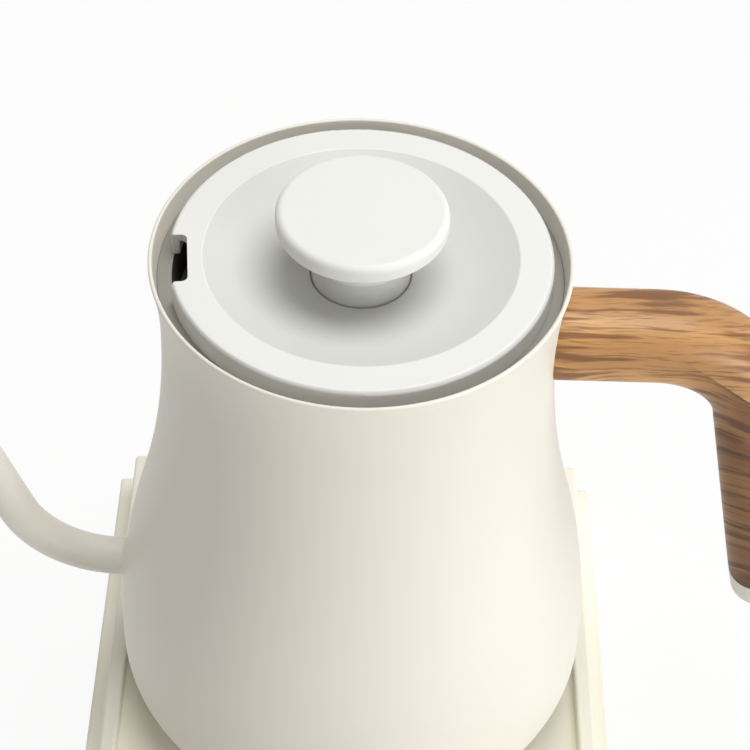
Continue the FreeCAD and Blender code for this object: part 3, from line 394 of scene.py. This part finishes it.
def firstHit(trees, start, heading):
    # the nearest point at which a ray meets one of the skins
    hits = [tree.ray_cast(start, heading) for tree in trees]
    return min((hit for hit in hits if hit[0] is not None), key=lambda hit: hit[3])[0]


def ringAngles(count):
    return [2 * math.pi * step / count for step in range(count)]


def bandFaces(count, row, closed=False):
    # quads between neighbouring rows round a ring; closed joins the end of each row to its start
    faces = []
    for step in range(count):
        first = step * row
        second = (step + 1) % count * row
        for i in range(row if closed else row - 1):
            j = (i + 1) % row
            faces.append((first + i, second + i, second + j, first + j))
    return faces


same = 0.01 * millimetre
weld = {"reach": 1.5, "rise": 1.3, "around": 64, "steps": 8, "clear": 0.2, "start": -100.0}


def spoutWeld():
    # fillet between the spout's root and the belly
    low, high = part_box("spout_tube")
    shell = skins("body_shell")
    tubeRadius = (high.y - low.y) / 2
    corners = [vertex.co for vertex in nodes["spout_tube"].data.vertices]
    root = max(corner.x for corner in corners)
    rootRing = [corner for corner in corners if root - corner.x < same]
    middle = sum(rootRing, Vector()) / len(rootRing)

    def shellAt(radius, angle):
        start = middle + Vector((0, radius * math.cos(angle), radius * math.sin(angle)))
        start.x = weld["start"] * millimetre
        return firstHit(shell, start, Vector((1, 0, 0)))

    points = []
    for angle in ringAngles(weld["around"]):
        foot = shellAt(tubeRadius + weld["reach"] * millimetre, angle)
        corner = shellAt(tubeRadius + weld["clear"] * millimetre, angle)
        corner.y = middle.y + tubeRadius * math.cos(angle)
        corner.z = middle.z + tubeRadius * math.sin(angle)
        top = corner - Vector((weld["rise"] * millimetre, 0, 0))
        for step in range(weld["steps"] + 1):
            t = step / weld["steps"]
            points.append(foot * (1 - t) ** 2 + corner * 2 * t * (1 - t) + top * t ** 2)
    faces = bandFaces(weld["around"], weld["steps"] + 1)
    piece("spoutWeld", points, faces, "kettle", "white_paint")


rootCollar = {"around": 72, "station": 60.0, "outside": 30.0, "skin": 0.03, "sink": 0.4, "length": 1.6}


def handleRoot():
    # the handle's root, carried on to meet the neck
    neck = skins("body_shell", "rim_collar")
    handle = skins("handle_grip")
    low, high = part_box("handle_bracket")
    middle = Vector((rootCollar["station"] * millimetre, 0.0, (low.z + high.z) / 2))
    inward = Vector((-1, 0, 0))
    points = []
    for angle in ringAngles(rootCollar["around"]):
        outward = Vector((0, math.cos(angle), math.sin(angle)))
        edge = firstHit(handle, middle + outward * rootCollar["outside"] * millimetre, -outward)
        skin = firstHit(neck, edge - outward * rootCollar["skin"] * millimetre, inward)
        points.append(skin + inward * rootCollar["sink"] * millimetre)
        points.append(skin - inward * rootCollar["length"] * millimetre)
    piece("handleRoot", points, bandFaces(rootCollar["around"], 2), "kettle", "handle_wood")


bead = {"radius": 0.5, "inset": 0.45, "drop": 0.2, "around": 144, "steps": 12}


def rimBead():
    # the rim's rolled edge
    tube = bead["radius"] * millimetre
    corners = [vertex.co for vertex in nodes["rim_collar"].data.vertices]
    top = max(corner.z for corner in corners)
    rim = max(corner.xy.length for corner in corners if top - corner.z < same)
    points = []
    for angle in ringAngles(bead["around"]):
        for lean in ringAngles(bead["steps"]):
            reach = rim - bead["inset"] * millimetre + tube * math.cos(lean)
            height = top - bead["drop"] * millimetre + tube * math.sin(lean)
            points.append((reach * math.cos(angle), reach * math.sin(angle), height))
    faces = bandFaces(bead["around"], bead["steps"], True)
    piece("rimBead", points, faces, "kettle", "white_paint")


sign = {"half": 2.6, "bar": 0.32, "rise": 0.10, "sink": 0.10, "gap": 35.0, "steps": 36}


def raisedSign(name, button, outlines):
    # flat signs that stand a little above a button's face
    low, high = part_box(button)
    middle = (low + high) / 2
    points = []
    faces = []
    for outline in outlines:
        first = len(points)
        count = len(outline)
        for height in (high.z - sign["sink"] * millimetre, high.z + sign["rise"] * millimetre):
            points += [(middle.x + x * millimetre, middle.y + y * millimetre, height) for x, y in outline]
        faces.append(tuple(first + i for i in reversed(range(count))))
        faces.append(tuple(first + count + i for i in range(count)))
        for i in range(count):
            j = (i + 1) % count
            faces.append((first + i, first + j, first + count + j, first + count + i))
    piece(name, points, faces, button + "_body", "display_plastic", False)


def arcLine(radius, start, stop):
    angles = [start + (stop - start) * step / sign["steps"] for step in range(sign["steps"] + 1)]
    return [(radius * math.cos(angle), radius * math.sin(angle)) for angle in angles]


def buttonSigns():
    half, bar = sign["half"], sign["bar"]
    line = [(-half, -bar), (half, -bar), (half, bar), (-half, bar)]
    cross = [(bar, -half), (bar, -bar), (half, -bar), (half, bar), (bar, bar), (bar, half),
             (-bar, half), (-bar, bar), (-half, bar), (-half, -bar), (-bar, -bar), (-bar, -half)]
    start = math.radians(90 + sign["gap"])
    stop = math.radians(450 - sign["gap"])
    ring = arcLine(half + bar, start, stop) + arcLine(half - bar, stop, start)
    stroke = [(-bar, half / 3), (bar, half / 3), (bar, half + bar), (-bar, half + bar)]
    raisedSign("powerMark", "power_button", [ring, stroke])
    raisedSign("minusMark", "minus_button", [line])
    raisedSign("plusMark", "plus_button", [cross])


spoutWeld()
handleRoot()
rimBead()
buttonSigns()


# Studio

# place and nearest in millimetres, angles in degrees, focal and frame in pixels
camera = {
    "place": (0.0, -330.5, 481.9), "pitch": 46.42, "yaw": 0.70, "roll": 2.09,
    "focal": 2000.0, "frame": 750.0, "sensor": 36.0, "nearest": 10.0,
}


def studioCamera():
    pitch, yaw, roll = (math.radians(camera[name]) for name in ("pitch", "yaw", "roll"))
    ahead = Vector((math.sin(yaw) * math.cos(pitch), math.cos(yaw) * math.cos(pitch), -math.sin(pitch)))
    level = Vector((math.cos(yaw), -math.sin(yaw), 0.0))
    upright = level.cross(ahead)
    right = level * math.cos(roll) + upright * math.sin(roll)
    up = upright * math.cos(roll) - level * math.sin(roll)
    data = bpy.data.cameras.new("studioCamera")
    data.sensor_width = camera["sensor"]
    data.lens = camera["focal"] / camera["frame"] * camera["sensor"]
    data.clip_start = camera["nearest"] * millimetre
    eye = bpy.data.objects.new("studioCamera", data)
    turn = Matrix((right, up, -ahead)).transposed()
    eye.matrix_world = Matrix.Translation(Vector(camera["place"]) * millimetre) @ turn.to_4x4()
    bpy.context.scene.collection.objects.link(eye)
    bpy.context.scene.camera = eye


# lengths in metres
lamps = {
    "topLamp": {"place": (0.25, 0.10, 1.25), "aim": (0.0, 0.0, 0.10), "size": 1.0, "power": 11.0},
    "sideLamp": {"place": (0.74, -0.64, 0.22), "aim": (0.0, 0.0, 0.10), "size": 0.5, "power": 4.4},
}
surround = {
    "light": 0.26, "tint": (1.0, 0.985, 0.96), "white": (1.0, 1.0, 1.0),
    "floorSize": 3.0, "floorGlow": 0.90, "floorCloud": 3.0, "floorRough": 0.9,
    "floorDim": seen(244, 243, 241), "floorPale": seen(248, 248, 247),
}


def softLamp(name, values):
    data = bpy.data.lights.new(name, "AREA")
    data.shape = "DISK"
    data.size = values["size"]
    data.energy = values["power"]
    lamp = bpy.data.objects.new(name, data)
    lamp.location = values["place"]
    aim = Vector(values["aim"]) - Vector(values["place"])
    lamp.rotation_euler = aim.to_track_quat("-Z", "Y").to_euler()
    bpy.context.scene.collection.objects.link(lamp)


def paleFloor():
    # white to rays that look, apart from a share that shows the object's shadow
    size = surround["floorSize"]
    mesh = bpy.data.meshes.new("paleFloor")
    mesh.from_pydata([(-size, -size, 0), (size, -size, 0), (size, size, 0), (-size, size, 0)], [], [(0, 1, 2, 3)])
    floor = bpy.data.objects.new("paleFloor", mesh)
    bpy.context.scene.collection.objects.link(floor)
    finish = Finish("paleFloor")
    cloud = finish.noise(finish.place(), surround["floorCloud"])
    colour = finish.mix(cloud, surround["floorDim"], surround["floorPale"])
    finish.surface({"Base Color": colour, "Roughness": surround["floorRough"]})
    plain = Wire(finish, finish.shader.outputs[0])
    glow = finish.add("ShaderNodeEmission", {}, {"Color": surround["white"], "Strength": 1.0})
    share = finish.looking() * surround["floorGlow"]
    blend = finish.add("ShaderNodeMixShader", {}, {0: share, 1: plain, 2: glow})
    finish.fill(finish.tree.nodes["Material Output"].inputs["Surface"], blend)
    mesh.materials.append(finish.material)


def whiteWorld():
    # white to rays that look, dimmer as a light on the object
    world = bpy.data.worlds.new("whiteWorld")
    bpy.context.scene.world = world
    world.use_nodes = True
    sky = NodeMaker(world.node_tree)
    sky.tree.nodes.remove(sky.tree.nodes["Background"])
    light = sky.add("ShaderNodeBackground", {}, {"Color": surround["tint"], "Strength": surround["light"]})
    white = sky.add("ShaderNodeBackground", {}, {"Color": surround["white"], "Strength": 1.0})
    blend = sky.add("ShaderNodeMixShader", {}, {0: sky.looking(), 1: light, 2: white})
    sky.fill(sky.tree.nodes["World Output"].inputs["Surface"], blend)


studioCamera()
for lampName, lampValues in lamps.items():
    softLamp(lampName, lampValues)
paleFloor()
whiteWorld()
bpy.context.scene.view_settings.view_transform = "Standard"
print("studio: camera and", len(lamps), "lamps")
